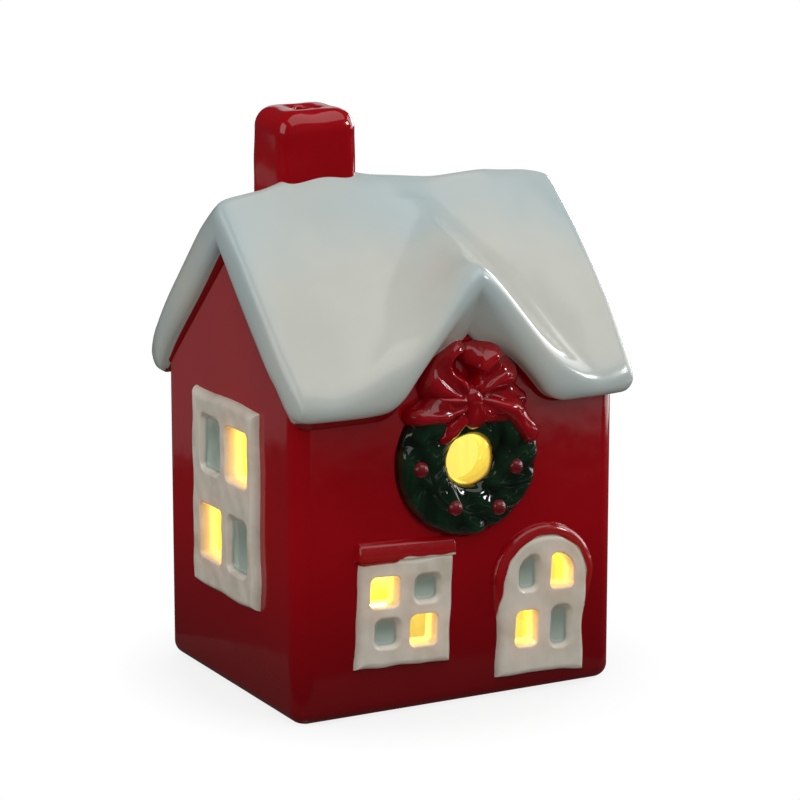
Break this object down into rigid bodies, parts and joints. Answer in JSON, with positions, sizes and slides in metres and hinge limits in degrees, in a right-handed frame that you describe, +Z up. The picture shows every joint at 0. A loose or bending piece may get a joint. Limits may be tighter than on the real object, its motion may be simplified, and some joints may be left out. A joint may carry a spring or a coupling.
{
  "type": "ceramic christmas village house",
  "caption": "Glazed ceramic village house with a snowy roof, wreath and bow, open below, that stands over a battery tealight and glows through its window panes.",
  "frame": {"origin": "middle of the house's footprint, on the surface that it stands on", "axes": "+Z up, -Y out of the front with the wreath, -X out of the left gable"},
  "size_m": [0.082, 0.0772, 0.1244],
  "materials": {
    "red_glaze": "glossy deep red glaze",
    "snow_glaze": "glossy off-white glaze with a pale blue-green tint",
    "frame_glaze": "glossy warm white glaze",
    "wreath_glaze": "glossy dark green glaze",
    "berry_glaze": "glossy red glaze",
    "housing_plastic": "satin white plastic",
    "flame_plastic": "frosted translucent amber plastic",
    "led_epoxy": "clear epoxy",
    "board_laminate": "green solder mask",
    "resistor_body": "matte black",
    "cell_steel": "nickel plated",
    "contact_steel": "nickel plated spring strip",
    "pin_steel": "bright steel",
    "switch_can": "tinned steel",
    "knob_plastic": "matte black plastic"
  },
  "bodies": {
    "light": {"light_housing": "housing_plastic", "flame_diffuser": "flame_plastic", "led": "led_epoxy", "circuit_board": "board_laminate", "resistor": "resistor_body", "coin_cell": "cell_steel", "positive_contact": "contact_steel", "negative_contact": "contact_steel", "base_cover": "housing_plastic", "hinge_pin": "pin_steel", "switch_body": "switch_can", "cover_screws": "pin_steel"},
    "house": {"house_body": "red_glaze", "roof": "snow_glaze", "chimney": "red_glaze", "wreath": "wreath_glaze", "berries": "berry_glaze", "bow_knot": "red_glaze", "bow_left_loop": "red_glaze", "bow_right_loop": "red_glaze", "bow_left_tail": "red_glaze", "bow_right_tail": "red_glaze", "front_window_frame": "frame_glaze", "arched_window_frame": "frame_glaze", "left_gable_window_frame": "frame_glaze", "right_gable_window_frame": "frame_glaze"},
    "door": {"battery_door": "housing_plastic"},
    "slider": {"switch_slider": "knob_plastic"}
  },
  "joints": [
    {"name": "house_lift", "type": "slide", "parent": "light", "child": "house", "axis": [0, 0, 1], "range_m": [0, 0.036]},
    {"name": "battery_door", "type": "hinge", "parent": "light", "child": "door", "pos_m": [0, 0.0136, 0.0019], "axis": [1, 0, 0], "range_deg": [0, 95]},
    {"name": "switch_slide", "type": "slide", "parent": "light", "child": "slider", "axis": [1, 0, 0], "range_m": [0, 0.0024]}
  ]
}
